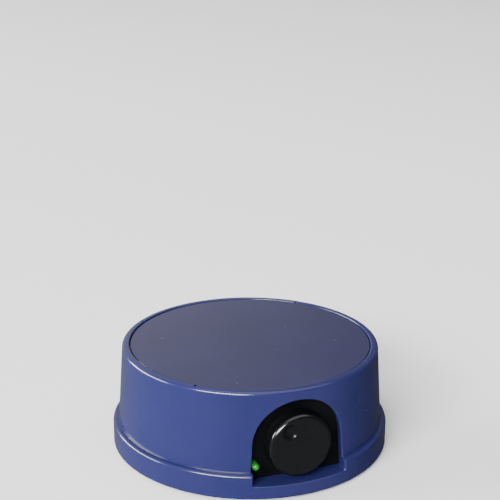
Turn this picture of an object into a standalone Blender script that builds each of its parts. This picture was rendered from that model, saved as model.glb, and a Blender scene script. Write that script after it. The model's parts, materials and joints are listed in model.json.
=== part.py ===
"""A compact magnetic stirrer: a round blue housing with an inset work plate, a speed knob in an
arch-shaped recess, and a motor that spins two magnets under the plate.

Metres, +Z up. The origin is on the table under the housing's centre, and the knob faces -Y.
"""

import math

import bmesh
import bpy
from mathutils import Matrix, Vector

MM = 0.001
GAP = 0.3 * MM  # air left between two pieces that touch on the real stirrer

# Housing, turned about Z
HEIGHT = 52 * MM
HOUSING_STEPS = 64
WALL = 2.2 * MM
SKIRT_RADIUS = 68.5 * MM
SKIRT_BOTTOM = 1 * MM
LEDGE_Z = 13 * MM
WALL_FOOT_RADIUS = 65.7 * MM  # outside of the upper wall where it leaves the ledge
SHOULDER_RADIUS = 63.3 * MM  # outside of the upper wall under the rim
SHOULDER_Z = 50.8 * MM
PLATE_SEAT_RADIUS = 59.6 * MM
PLATE_SEAT_Z = 49.8 * MM
CEILING_Z = 47.8 * MM  # underside of the housing's top
EDGE_ROUND = 1 * MM

# Work plate, base plate and feet
PLATE_RADIUS = 59.2 * MM
PLATE_TOP = 51.5 * MM
BASE_RADIUS = 65.8 * MM
BASE_BOTTOM = 1.5 * MM
BASE_TOP = 3.4 * MM
BASE_BOSS_TOP = 5.4 * MM
FOOT_RADIUS = 6.5 * MM
FOOT_CIRCLE = 52 * MM
POST_CIRCLE = 57 * MM
POST_RADIUS = 4 * MM
BASE_SCREW_SEAT = 2.9 * MM
BASE_SCREW_HEAD = 2.8 * MM
COUNTERBORE_TOP = 3.2 * MM

# Knob recess
PANEL_Y = -57.4 * MM
KNOB_Z = 24.8 * MM
ARCH_RADIUS = 21.8 * MM
ARCH_FOOT = 23 * MM  # half width of the opening at its floor
FLOOR_Z = 7.5 * MM
JAMB_WALL = 1.6 * MM
PANEL_THICK = 2 * MM
SHELF_BACK_Y = -49.5 * MM
SHELF_HALF = 25 * MM
PANEL_SCREW_X = 17 * MM
PANEL_SCREW_Y = -52.4 * MM
PANEL_SCREW_HOLE = 1.3 * MM
LED_X = -20.35 * MM
LED_Z = 15.6 * MM
LED_RADIUS = 1.75 * MM
LED_FLANGE = 2.15 * MM
LED_TIP = 5.2 * MM  # from the panel's face

# Potentiometer and knob: depths are measured from the panel's face towards the user
SHAFT_RADIUS = 3 * MM
SHAFT_FLAT = 1.6 * MM  # from the axis to the flat of the D
BUSHING_RADIUS = 4 * MM
KNOB_RADIUS = 15.3 * MM
KNOB_BACK = 1.2 * MM
KNOB_FACE = 8.9 * MM
DIMPLE_X = -5.6 * MM
DIMPLE_Y = 7.8 * MM
DIMPLE_RADIUS = 3.7 * MM
DIMPLE_DEPTH = 1.7 * MM

# Motor, magnets and board
CAN_RADIUS = 12 * MM
CAN_BOTTOM = 8.5 * MM
CAN_TOP = 29 * MM
MOTOR_SHAFT_RADIUS = 1 * MM
MAGNET_RADIUS = 8 * MM
MAGNET_X = 20 * MM
MAGNET_TOP = 46.6 * MM
BRACKET_HALF = 24 * MM
BRACKET_DEEP = 11 * MM
BRACKET_SCREW_X = 29 * MM
MOTOR_SCREW_X = 8 * MM
BOARD_LOW = Vector((-28, -46, 7.2)) * MM
BOARD_HIGH = Vector((28, -17, 8.8)) * MM
BOARD_SCREWS = ((-24 * MM, -31 * MM), (24 * MM, -31 * MM))

# Power inlet in the rear wall
JACK_Z = 22.5 * MM
JACK_RADIUS = 5.5 * MM
JACK_BORE = 3.1 * MM

QUARTERS = [math.radians(90 * k) for k in range(4)]
DIAGONALS = [math.radians(45 + 90 * k) for k in range(4)]


def material(name, colour, roughness, metallic=0.0):
    made = bpy.data.materials.new(name)
    made.use_nodes = True
    shader = made.node_tree.nodes["Principled BSDF"]
    shader.inputs["Base Color"].default_value = (*colour, 1)
    shader.inputs["Roughness"].default_value = roughness
    shader.inputs["Metallic"].default_value = metallic
    return made


# Shapes: each of these returns a bmesh


def spun(profile, steps, closed=False):
    """Turns (radius, height) points about Z. An open profile starts and ends on the axis."""
    shape = bmesh.new()
    rings = []
    for radius, height in profile:
        if radius == 0:
            rings.append([shape.verts.new((0, 0, height))])
            continue
        turns = [2 * math.pi * k / steps for k in range(steps)]
        rings.append(
            [shape.verts.new((radius * math.cos(t), radius * math.sin(t), height)) for t in turns]
        )
    following = rings[1:] + rings[:1] if closed else rings[1:]
    for ring, other in zip(rings, following):
        for k in range(steps):
            corners = [ring[k % len(ring)], ring[(k + 1) % len(ring)]]
            corners += [other[(k + 1) % len(other)], other[k % len(other)]]
            corners = list(dict.fromkeys(corners))
            if len(corners) > 2:
                shape.faces.new(corners)
    bmesh.ops.recalc_face_normals(shape, faces=shape.faces)
    return shape


def cylinder(radius, low, high, steps=16):
    return prism(arc(radius, 0, 2 * math.pi, steps)[:-1], low, high)


def tube(inner, outer, low, high, steps=24):
    return spun([(inner, low), (outer, low), (outer, high), (inner, high)], steps, closed=True)


def block(low, high):
    shape = bmesh.new()
    low, high = Vector(low), Vector(high)
    size = Matrix.Diagonal((*(high - low), 1))
    bmesh.ops.create_cube(shape, size=1, matrix=Matrix.Translation((low + high) / 2) @ size)
    return shape


def prism(outline, low, high):
    """Raises an outline of (x, y) points from low to high along Z."""
    shape = bmesh.new()
    face = shape.faces.new([shape.verts.new((x, y, low)) for x, y in outline])
    raised = bmesh.ops.extrude_face_region(shape, geom=[face])["geom"]
    raised = [item for item in raised if isinstance(item, bmesh.types.BMVert)]
    bmesh.ops.translate(shape, verts=raised, vec=(0, 0, high - low))
    bmesh.ops.recalc_face_normals(shape, faces=shape.faces)
    return shape


def ball(radius, centre):
    shape = bmesh.new()
    bmesh.ops.create_uvsphere(
        shape, u_segments=32, v_segments=24, radius=radius, matrix=Matrix.Translation(centre)
    )
    return shape


def moved(shape, offset=(0, 0, 0), turn=0.0, axis="Z"):
    matrix = Matrix.Translation(offset) @ Matrix.Rotation(turn, 4, axis)
    bmesh.ops.transform(shape, matrix=matrix, verts=shape.verts)
    return shape


def together(shapes):
    """One bmesh holding several shapes that don't touch each other."""
    whole = bmesh.new()
    for shape in shapes:
        mesh = bpy.data.meshes.new("loose_shape")
        shape.to_mesh(mesh)
        shape.free()
        whole.from_mesh(mesh)
        bpy.data.meshes.remove(mesh)
    return whole


def arc(radius, start, end, steps, centre=(0, 0)):
    turns = [start + (end - start) * k / steps for k in range(steps + 1)]
    return [(centre[0] + radius * math.cos(t), centre[1] + radius * math.sin(t)) for t in turns]


def half_opening(z):
    """Half the opening's width at a height below the knob's axis."""
    return ARCH_RADIUS + (ARCH_FOOT - ARCH_RADIUS) * z / (FLOOR_Z - KNOB_Z)


def arch(grow, foot):
    """The knob opening's outline around the knob's axis, grown sideways, with its foot at a height."""
    half = half_opening(foot) + grow
    return [(-half, foot), (half, foot)] + arc(ARCH_RADIUS + grow, 0, math.pi, 24)


def wall_radius(z):
    """The outside of the skirt below the ledge, and of the upper wall above it."""
    if z < LEDGE_Z:
        return SKIRT_RADIUS
    rise = (z - LEDGE_Z) / (SHOULDER_Z - LEDGE_Z)
    return WALL_FOOT_RADIUS + rise * (SHOULDER_RADIUS - WALL_FOOT_RADIUS)


def loft(rings):
    """Joins rings of points, each as long as the next, and closes both ends."""
    shape = bmesh.new()
    made = [[shape.verts.new(point) for point in ring] for ring in rings]
    for ring, other in zip(made, made[1:]):
        for k in range(len(ring)):
            following = (k + 1) % len(ring)
            shape.faces.new((ring[k], ring[following], other[following], other[k]))
    shape.faces.new(made[0])
    shape.faces.new(made[-1])
    bmesh.ops.recalc_face_normals(shape, faces=shape.faces)
    return shape


def jamb():
    """The recess's side walls and arched top, from the panel's face into the outer wall."""
    ledge_half = 1 * MM  # the ledge's own thickness hides the step between skirt and wall
    foot, step = FLOOR_Z - KNOB_Z - ledge_half, LEDGE_Z - KNOB_Z - ledge_half
    lines = []
    for grow in (-0.5 * MM, JAMB_WALL):
        heights = (foot, step - 0.2 * MM, step + 0.2 * MM)
        right = [(half_opening(z) + grow, z) for z in heights]
        left = [(-x, z) for x, z in reversed(right)]
        lines.append(right + arc(ARCH_RADIUS + grow, 0, math.pi, 24) + left)
    rings = []
    for pair in zip(*lines):
        backs, fronts = [], []
        for x, z in pair:
            radius = wall_radius(z + KNOB_Z + ledge_half) - WALL / 2
            backs.append((x, PANEL_Y - GAP, z + KNOB_Z))
            fronts.append((x, -math.sqrt(radius**2 - x**2), z + KNOB_Z))
        rings.append(backs + fronts[::-1])
    return loft(rings)


def around(angle, radius):
    return Vector((radius * math.cos(angle), radius * math.sin(angle), 0))


# Objects


def add(name, shape, look, parent=None, location=(0, 0, 0), mesh=None):
    if mesh is None:
        mesh = bpy.data.meshes.new(name)
        shape.to_mesh(mesh)
        shape.free()
        mesh.shade_smooth()
        mesh.set_sharp_from_angle(angle=math.radians(35))
        mesh.materials.append(look)
    piece = bpy.data.objects.new(name, mesh)
    bpy.context.scene.collection.objects.link(piece)
    piece.parent = parent
    piece.location = location
    return piece


def shaped(piece, operation, shapes):
    """Adds a Boolean with shapes in the piece's own frame."""
    name = f"{piece.name}_{operation.lower()}_{len(piece.modifiers)}"
    mesh = bpy.data.meshes.new(name)
    whole = together(shapes)
    whole.to_mesh(mesh)
    whole.free()
    helper = bpy.data.objects.new(name, mesh)
    bpy.context.scene.collection.objects.link(helper)
    helper.parent = piece.parent
    helper.location = piece.location
    helper.hide_render = True
    helper.display_type = "WIRE"
    change = piece.modifiers.new(operation.lower(), "BOOLEAN")
    change.operation = operation
    change.solver = "EXACT"
    change.object = helper


def add_frame(name, location, turn):
    """An empty whose Z points out of the housing."""
    frame = bpy.data.objects.new(name, None)
    bpy.context.scene.collection.objects.link(frame)
    frame.location = location
    frame.rotation_euler = (turn, 0, 0)
    frame.empty_display_size = 10 * MM
    return frame


def screw(head_radius, head_high, shank_radius, length):
    """A pan-head screw, tip down, with the underside of its head at height 0."""
    tip = 0.8 * MM
    profile = [
        (0, head_high),
        (0.7 * head_radius, head_high),
        (head_radius, 0.5 * head_high),
        (head_radius, 0),
        (shank_radius, 0),
        (shank_radius, tip - length),
        (0.4 * shank_radius, -length),
        (0, -length),
    ]
    return spun(profile, 14)


def add_lead(name, points, radius, look):
    """A short internal wire along a smooth route through the points given."""
    curve = bpy.data.curves.new(name, "CURVE")
    curve.dimensions = "3D"
    curve.bevel_depth = radius
    curve.bevel_resolution = 2
    curve.use_fill_caps = True
    spots = smooth_route(points)
    line = curve.splines.new("POLY")
    line.points.add(len(spots) - 1)
    for spot, point in zip(spots, line.points):
        point.co = (*spot, 1)
    curve.materials.append(look)
    wire = bpy.data.objects.new(name, curve)
    bpy.context.scene.collection.objects.link(wire)
    return wire


def smooth_route(points, steps=4):
    """Points along a Catmull-Rom curve through the route's own points."""
    route = [Vector(p) * MM for p in points]
    route = [2 * route[0] - route[1]] + route + [2 * route[-1] - route[-2]]
    spots = []
    for a, b, c, d in zip(route, route[1:], route[2:], route[3:]):
        for k in range(steps):
            t = k / steps
            bend = 2 * b + (c - a) * t + (2 * a - 5 * b + 4 * c - d) * t**2
            spots.append((bend + (3 * b - a - 3 * c + d) * t**3) / 2)
    return spots + [route[-2]]


def add_housing(looks):
    inner_skirt = SKIRT_RADIUS - WALL
    rim_top = HEIGHT
    profile = [
        (0, PLATE_SEAT_Z),
        (PLATE_SEAT_RADIUS, PLATE_SEAT_Z),
        (PLATE_SEAT_RADIUS, rim_top - 0.4 * MM),
        (PLATE_SEAT_RADIUS + 0.4 * MM, rim_top),
        (SHOULDER_RADIUS - 1.5 * MM, rim_top),
        (SHOULDER_RADIUS - 0.6 * MM, rim_top - 0.4 * MM),
        (SHOULDER_RADIUS, SHOULDER_Z),
        (WALL_FOOT_RADIUS, LEDGE_Z),
        (SKIRT_RADIUS - EDGE_ROUND, LEDGE_Z),
        (SKIRT_RADIUS - 0.3 * EDGE_ROUND, LEDGE_Z - 0.3 * EDGE_ROUND),
        (SKIRT_RADIUS, LEDGE_Z - EDGE_ROUND),
        (SKIRT_RADIUS, SKIRT_BOTTOM + EDGE_ROUND),
        (SKIRT_RADIUS - 0.3 * EDGE_ROUND, SKIRT_BOTTOM + 0.3 * EDGE_ROUND),
        (SKIRT_RADIUS - EDGE_ROUND, SKIRT_BOTTOM),
        (inner_skirt, SKIRT_BOTTOM),
        (inner_skirt, LEDGE_Z - WALL),
        (WALL_FOOT_RADIUS - WALL, LEDGE_Z - WALL),
        (SHOULDER_RADIUS - WALL, CEILING_Z),
        (0, CEILING_Z),
    ]
    shell = add("housing_shell", spun(profile, HOUSING_STEPS), looks["blue_plastic"])

    shaped(shell, "UNION", [jamb()])
    opening = moved(
        prism(arch(0, FLOOR_Z - KNOB_Z), 56 * MM, 75 * MM), (0, 0, KNOB_Z), math.pi / 2, "X"
    )
    shaped(shell, "DIFFERENCE", [opening])

    # The shelf is the floor of the recess and carries the panel behind it.
    shelf_reach = math.asin(SHELF_HALF / (inner_skirt + 1 * MM))
    front = arc(inner_skirt + 1 * MM, -math.pi / 2 - shelf_reach, -math.pi / 2 + shelf_reach, 12)
    outline = front + [(SHELF_HALF, SHELF_BACK_Y), (-SHELF_HALF, SHELF_BACK_Y)]
    shelf = prism(outline, FLOOR_Z - 2.1 * MM, FLOOR_Z - 0.05 * MM)
    posts = [
        moved(cylinder(POST_RADIUS, BASE_BOSS_TOP + GAP, CEILING_Z + 1 * MM), around(a, POST_CIRCLE))
        for a in DIAGONALS
    ]
    shaped(shell, "UNION", [shelf] + posts)

    pilots = [
        moved(cylinder(1.4 * MM, 5 * MM, 18 * MM, 12), around(a, POST_CIRCLE)) for a in DIAGONALS
    ]
    shelf_holes = [
        moved(cylinder(1.6 * MM, 4 * MM, 9 * MM, 12), (x, PANEL_SCREW_Y, 0))
        for x in (-PANEL_SCREW_X, PANEL_SCREW_X)
    ]
    notches = [
        moved(block((59 * MM, -0.65 * MM, 51.3 * MM), (62.4 * MM, 0.65 * MM, 53 * MM)), turn=a)
        for a in DIAGONALS
    ]
    inlet = moved(
        cylinder(JACK_RADIUS + 0.4 * MM, 55 * MM, 75 * MM, 24), (0, 0, JACK_Z), -math.pi / 2, "X"
    )
    shaped(shell, "DIFFERENCE", pilots + shelf_holes + notches + [inlet])


def add_top_plate(looks):
    round_off = 0.4 * MM
    profile = [
        (0, PLATE_TOP),
        (PLATE_RADIUS - round_off, PLATE_TOP),
        (PLATE_RADIUS, PLATE_TOP - round_off),
        (PLATE_RADIUS, PLATE_SEAT_Z + GAP),
        (0, PLATE_SEAT_Z + GAP),
    ]
    add("top_plate", spun(profile, HOUSING_STEPS), looks["plate_gloss"])


def add_base(looks):
    disc = cylinder(BASE_RADIUS, BASE_BOTTOM, BASE_TOP, 48)
    base = add("base_plate", disc, looks["base_plastic"])
    bosses = [
        moved(cylinder(5 * MM, BASE_TOP - 1 * MM, BASE_BOSS_TOP), around(a, POST_CIRCLE))
        for a in DIAGONALS
    ]
    standoffs = [
        moved(cylinder(3 * MM, BASE_TOP - 1 * MM, BOARD_LOW.z - GAP), (x, y, 0))
        for x, y in BOARD_SCREWS
    ]
    shaped(base, "UNION", bosses + standoffs)
    holes = []
    for angle in DIAGONALS:
        holes.append(moved(cylinder(1.9 * MM, 0, 9 * MM, 12), around(angle, POST_CIRCLE)))
    for angle in QUARTERS:
        holes.append(moved(cylinder(2.7 * MM, 0, 9 * MM), around(angle, FOOT_CIRCLE)))
    for x, y in BOARD_SCREWS:
        holes.append(moved(cylinder(1.3 * MM, BASE_TOP - 1 * MM, 9 * MM, 12), (x, y, 0)))
    for x in (-BRACKET_SCREW_X, BRACKET_SCREW_X):
        holes.append(moved(cylinder(1.7 * MM, 0, 9 * MM, 12), (x, 0, 0)))
    shaped(base, "DIFFERENCE", holes)
    sink_radius = BASE_SCREW_HEAD + 0.4 * MM
    sinks = [
        moved(cylinder(sink_radius, 0, COUNTERBORE_TOP), around(a, POST_CIRCLE)) for a in DIAGONALS
    ]
    shaped(base, "DIFFERENCE", sinks)

    barb_low, barb_high = BASE_TOP + GAP, BASE_TOP + 1.7 * MM
    profile = [
        (0, 0),
        (FOOT_RADIUS - 0.5 * MM, 0),
        (FOOT_RADIUS, 0.4 * MM),
        (FOOT_RADIUS, BASE_BOTTOM - GAP),
        (2.4 * MM, BASE_BOTTOM - GAP),
        (2.4 * MM, barb_low),
        (3.4 * MM, barb_low),
        (2.6 * MM, barb_high),
        (0, barb_high),
    ]
    place = around(QUARTERS[0], FOOT_CIRCLE)
    foot = add("foot_1", spun(profile, 20), looks["rubber"], location=place)
    for k in range(1, 4):
        place = around(QUARTERS[k], FOOT_CIRCLE)
        add(f"foot_{k + 1}", None, None, location=place, mesh=foot.data)

    # Driven from below, so the screw is modelled tip down and then turned over.
    shape = screw(BASE_SCREW_HEAD, 1.4 * MM, 1.1 * MM, 11 * MM)
    shape = moved(shape, (0, 0, BASE_SCREW_SEAT), math.pi, "X")
    place = around(DIAGONALS[0], POST_CIRCLE)
    driven = add("base_screw_1", shape, looks["steel"], location=place)
    for k in range(1, 4):
        place = around(DIAGONALS[k], POST_CIRCLE)
        add(f"base_screw_{k + 1}", None, None, location=place, mesh=driven.data)


def add_panel(looks, front):
    """The black insert, in the frame whose Z points from the panel's face to the user."""
    foot = FLOOR_Z - KNOB_Z + GAP
    plate = prism(arch(0.9 * MM, foot), -PANEL_THICK, 0)
    panel = add("control_panel", plate, looks["black_plastic"], front)
    lugs = []
    for side in (-1, 1):
        low = Vector((side * PANEL_SCREW_X - 3.2 * MM, foot, -7.8 * MM))
        lugs.append(block(low, low + Vector((6.4, 5, 6.8)) * MM))
    shaped(panel, "UNION", lugs)
    holes = [cylinder(BUSHING_RADIUS + GAP, -4 * MM, 4 * MM, 20)]
    led_hole = cylinder(LED_RADIUS + GAP, -4 * MM, 4 * MM, 16)
    holes.append(moved(led_hole, (LED_X, LED_Z - KNOB_Z, 0)))
    for side in (-1, 1):
        pilot = cylinder(PANEL_SCREW_HOLE, -3.6 * MM, 3 * MM, 12)
        pilot = moved(pilot, turn=math.pi / 2, axis="X")
        place = (side * PANEL_SCREW_X, foot, PANEL_Y - PANEL_SCREW_Y)
        holes.append(moved(pilot, place))
    shaped(panel, "DIFFERENCE", holes)

    shape = moved(screw(2.3 * MM, 1.2 * MM, 1 * MM, 6 * MM), turn=math.pi, axis="X")
    seat = FLOOR_Z - 2.1 * MM - GAP
    place = (-PANEL_SCREW_X, PANEL_SCREW_Y, seat)
    driven = add("panel_screw_1", shape, looks["steel"], location=place)
    place = (PANEL_SCREW_X, PANEL_SCREW_Y, seat)
    add("panel_screw_2", None, None, location=place, mesh=driven.data)

    dome = arc(LED_RADIUS, 0, math.pi / 2, 6, (0, LED_TIP - LED_RADIUS))
    flange_back, flange_front = -3.6 * MM, -PANEL_THICK - GAP
    profile = [(0, flange_back), (LED_FLANGE, flange_back), (LED_FLANGE, flange_front)]
    profile += [(LED_RADIUS, flange_front)] + dome[:-1] + [(0, LED_TIP)]
    lamp = spun(profile, 20)
    add("led", lamp, looks["led_green"], front, (LED_X, LED_Z - KNOB_Z, 0))


def add_potentiometer(looks, front, turning):
    bore = SHAFT_RADIUS + GAP
    profile = [
        (bore, 3.2 * MM),
        (BUSHING_RADIUS, 3.2 * MM),
        (BUSHING_RADIUS, -2.4 * MM),
        (8 * MM, -2.4 * MM),
        (8 * MM, -9 * MM),
        (7.1 * MM, -9 * MM),
        (7.1 * MM, -4 * MM),
        (bore, -4 * MM),
    ]
    add("potentiometer_body", spun(profile, 28, closed=True), looks["steel"], front)

    disc = cylinder(8 * MM, -10.3 * MM, -9.3 * MM, 28)
    cover = add("potentiometer_cover", disc, looks["brown"], front)
    tags = [
        block((x * MM - 0.8 * MM, -12 * MM, -10.1 * MM), (x * MM + 0.8 * MM, -6 * MM, -9.5 * MM))
        for x in (-4, 0, 4)
    ]
    shaped(cover, "UNION", tags)

    hexagon = arc(6.6 * MM, 0, 2 * math.pi, 6)[:-1]
    nut = add("potentiometer_nut", prism(hexagon, GAP, 2.5 * MM), looks["steel"], front)
    shaped(nut, "DIFFERENCE", [cylinder(BUSHING_RADIUS + GAP, -1 * MM, 4 * MM, 20)])

    tip = 6.1 * MM
    rod = cylinder(SHAFT_RADIUS, -8 * MM, tip, 20)
    shaft = add("potentiometer_shaft", rod, looks["aluminium"], turning)
    corner = Vector((-4 * MM, SHAFT_FLAT, 3.6 * MM))
    shaped(shaft, "DIFFERENCE", [block(corner, corner + Vector((8, 4, 4)) * MM)])

    ring = tube(bore, 6 * MM, -5.8 * MM, -4.8 * MM)
    wiper = add("potentiometer_wiper", ring, looks["brass"], turning)
    finger = block((-0.8 * MM, 5 * MM, -5.6 * MM), (0.8 * MM, 6.7 * MM, -5 * MM))
    shaped(wiper, "UNION", [finger])


def add_knob(looks, turning):
    crown = 0.1 * MM
    hub_back, hub_front, hub_radius = 3.6 * MM, 6.5 * MM, 5.4 * MM
    bevel = 1.2 * MM
    bevel_centre = (KNOB_RADIUS - bevel, KNOB_FACE - crown - bevel)
    edge = arc(bevel, math.pi / 2, math.radians(5), 4, bevel_centre)
    profile = [(0, KNOB_FACE), (8 * MM, KNOB_FACE - 0.3 * crown)] + edge
    profile += [
        (KNOB_RADIUS + 0.3 * MM, KNOB_BACK),
        (KNOB_RADIUS - 1.9 * MM, KNOB_BACK),
        (KNOB_RADIUS - 2.1 * MM, hub_front),
        (hub_radius, hub_front),
        (hub_radius, hub_back),
        (0, hub_back),
    ]
    knob = add("speed_knob", spun(profile, 48), looks["knob_black"], turning)
    bore_radius = SHAFT_RADIUS + GAP
    half_open = math.acos((SHAFT_FLAT + GAP) / bore_radius)
    bore = arc(bore_radius, math.pi / 2 + half_open, math.pi * 2.5 - half_open, 18)
    sphere_radius = (DIMPLE_RADIUS**2 + DIMPLE_DEPTH**2) / (2 * DIMPLE_DEPTH)
    centre = (DIMPLE_X, DIMPLE_Y, KNOB_FACE - DIMPLE_DEPTH + sphere_radius)
    cuts = [prism(bore, 3 * MM, hub_front - 0.1 * MM), ball(sphere_radius, centre)]
    shaped(knob, "DIFFERENCE", cuts)


def add_motor(looks):
    wall = 1 * MM
    boss_top = 31.6 * MM
    bush_outer = 2.6 * MM
    bush_hole = bush_outer + GAP
    shaft_hole = MOTOR_SHAFT_RADIUS + 0.3 * MM
    profile = [
        (bush_hole, boss_top),
        (4 * MM, boss_top),
        (4 * MM, CAN_TOP),
        (CAN_RADIUS, CAN_TOP),
        (CAN_RADIUS, CAN_BOTTOM),
        (CAN_RADIUS - wall, CAN_BOTTOM),
        (CAN_RADIUS - wall, CAN_TOP - 2 * wall),
        (bush_hole, CAN_TOP - 2 * wall),
    ]
    can = add("motor_can", spun(profile, 36, closed=True), looks["steel"])
    taps = [
        moved(cylinder(1.3 * MM, CAN_TOP - 4 * MM, CAN_TOP + 1 * MM, 12), (x, 0, 0))
        for x in (-MOTOR_SCREW_X, MOTOR_SCREW_X)
    ]
    shaped(can, "DIFFERENCE", taps)

    profile = [
        (bush_hole, 6.5 * MM),
        (CAN_RADIUS, 6.5 * MM),
        (CAN_RADIUS, CAN_BOTTOM - GAP),
        (CAN_RADIUS - wall - GAP, CAN_BOTTOM - GAP),
        (CAN_RADIUS - wall - GAP, 10.2 * MM),
        (bush_hole, 10.2 * MM),
    ]
    add("motor_end_cap", spun(profile, 36, closed=True), looks["black_plastic"])
    add("upper_bush", tube(shaft_hole, bush_outer, 28 * MM, 31.3 * MM), looks["brass"])
    add("lower_bush", tube(shaft_hole, bush_outer, 6.8 * MM, 9.9 * MM), looks["brass"])

    outer, inner = CAN_RADIUS - wall - GAP, 8.7 * MM
    for k, middle in enumerate((0, math.pi)):
        reach = math.radians(58)
        outline = arc(outer, middle - reach, middle + reach, 10)
        outline += arc(inner, middle + reach, middle - reach, 10)
        add(f"field_magnet_{k + 1}", prism(outline, 13.5 * MM, 25.5 * MM), looks["ferrite"])
    for k, side in enumerate((-1, 1)):
        near, far = side * 3.4 * MM, side * 6.4 * MM
        low = (min(near, far), -1 * MM, 11 * MM)
        high = (max(near, far), 1 * MM, 12.6 * MM)
        add(f"brush_{k + 1}", block(low, high), looks["ferrite"])


def add_bracket(looks):
    top_low, top_high = CAN_TOP + GAP, CAN_TOP + 1.8 * MM
    sheet = 1.5 * MM
    flange_low = BASE_TOP + GAP
    flange_out = 34 * MM
    side = [
        (flange_out, flange_low),
        (flange_out, flange_low + sheet),
        (BRACKET_HALF, flange_low + sheet),
        (BRACKET_HALF, top_high),
    ]
    under = [
        (BRACKET_HALF - sheet, top_low),
        (BRACKET_HALF - sheet, flange_low),
    ]
    outline = side + [(-x, z) for x, z in reversed(side)]
    outline += [(-x, z) for x, z in reversed(under)] + under
    shape = moved(prism(outline, -BRACKET_DEEP, BRACKET_DEEP), turn=math.pi / 2, axis="X")
    bracket = add("motor_bracket", shape, looks["aluminium"])
    holes = [cylinder(4.4 * MM, 25 * MM, 35 * MM, 20)]
    for x in (-MOTOR_SCREW_X, MOTOR_SCREW_X):
        holes.append(moved(cylinder(1.5 * MM, 25 * MM, 35 * MM, 12), (x, 0, 0)))
    for x in (-BRACKET_SCREW_X, BRACKET_SCREW_X):
        holes.append(moved(cylinder(1.8 * MM, 2 * MM, 8 * MM, 12), (x, 0, 0)))
    shaped(bracket, "DIFFERENCE", holes)

    seats = {
        "bracket_screw": (BRACKET_SCREW_X, flange_low + sheet + GAP, 3.6 * MM),
        "motor_screw": (MOTOR_SCREW_X, top_high + GAP, 4.6 * MM),
        "board_screw": (BOARD_SCREWS[1][0], BOARD_HIGH.z + GAP, 5 * MM),
    }
    for name, (x, seat, length) in seats.items():
        y = BOARD_SCREWS[0][1] if name == "board_screw" else 0
        shape = screw(2.2 * MM, 1.3 * MM, 1 * MM, length)
        driven = add(f"{name}_1", shape, looks["steel"], location=(-x, y, seat))
        add(f"{name}_2", None, None, location=(x, y, seat), mesh=driven.data)


def add_rotor(looks, turning):
    """Everything that the motor turns, in the frame of its vertical axis."""
    shaft = cylinder(MOTOR_SHAFT_RADIUS, 7 * MM, 38.6 * MM, 16)
    add("rotor_shaft", shaft, looks["steel"], turning)
    hole = MOTOR_SHAFT_RADIUS + GAP

    outline = []
    for k in range(3):
        middle = 2 * math.pi * k / 3
        outline += arc(8.2 * MM, middle - math.radians(50), middle + math.radians(50), 6)
        outline += [tuple(around(middle + math.pi / 3, 3.6 * MM).xy)]
    armature = add("armature", prism(outline, 14 * MM, 25 * MM), looks["copper"], turning)
    shaped(armature, "DIFFERENCE", [cylinder(hole, 10 * MM, 30 * MM)])
    add("commutator", tube(hole, 3 * MM, 10.8 * MM, 13 * MM, 18), looks["brass"], turning)

    # Hub, bar and two cups that hold the magnets
    bar_low, bar_high, cup_high = 36.6 * MM, 39.6 * MM, 43.6 * MM
    keeper_thick = 1.5 * MM
    half, deep = MAGNET_X + 9.6 * MM, 9.6 * MM
    bar = rounded_bar(half, deep, bar_low, cup_high)
    carrier = add("magnet_carrier", bar, looks["white_plastic"], turning)
    shaped(carrier, "UNION", [cylinder(5.5 * MM, 32.4 * MM, bar_low + 1 * MM, 24)])
    pocket = rounded_bar(half - 1.2 * MM, deep - 1.2 * MM, bar_high, 50 * MM)
    shaped(carrier, "DIFFERENCE", [pocket, cylinder(hole, 30 * MM, bar_low + 1 * MM)])
    threaded = moved(cylinder(1.4 * MM, 0, 9 * MM, 12), (0, 0, 34.6 * MM), math.pi / 2, "X")
    shaped(carrier, "DIFFERENCE", [cylinder(hole, bar_low, 45 * MM), threaded])

    keeper_low = bar_high + GAP
    keeper = rounded_bar(half - 1.6 * MM, deep - 1.6 * MM, keeper_low, keeper_low + keeper_thick)
    add("keeper_plate", keeper, looks["steel"], turning)
    magnet_low = keeper_low + keeper_thick + GAP
    for k, side in enumerate((-1, 1)):
        magnet = cylinder(MAGNET_RADIUS, magnet_low, MAGNET_TOP, 28)
        add(f"stirring_magnet_{k + 1}", magnet, looks["nickel"], turning, (side * MAGNET_X, 0, 0))
    grub = moved(cylinder(1.1 * MM, hole, 5 * MM, 12), (0, 0, 34.6 * MM), math.pi / 2, "X")
    add("hub_set_screw", grub, looks["steel"], turning)


def rounded_bar(half, deep, low, high):
    """A bar along X with half-round ends."""
    outline = arc(deep, -math.pi / 2, math.pi / 2, 12, (half - deep, 0))
    outline += arc(deep, math.pi / 2, 3 * math.pi / 2, 12, (deep - half, 0))
    return prism(outline, low, high)


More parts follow.
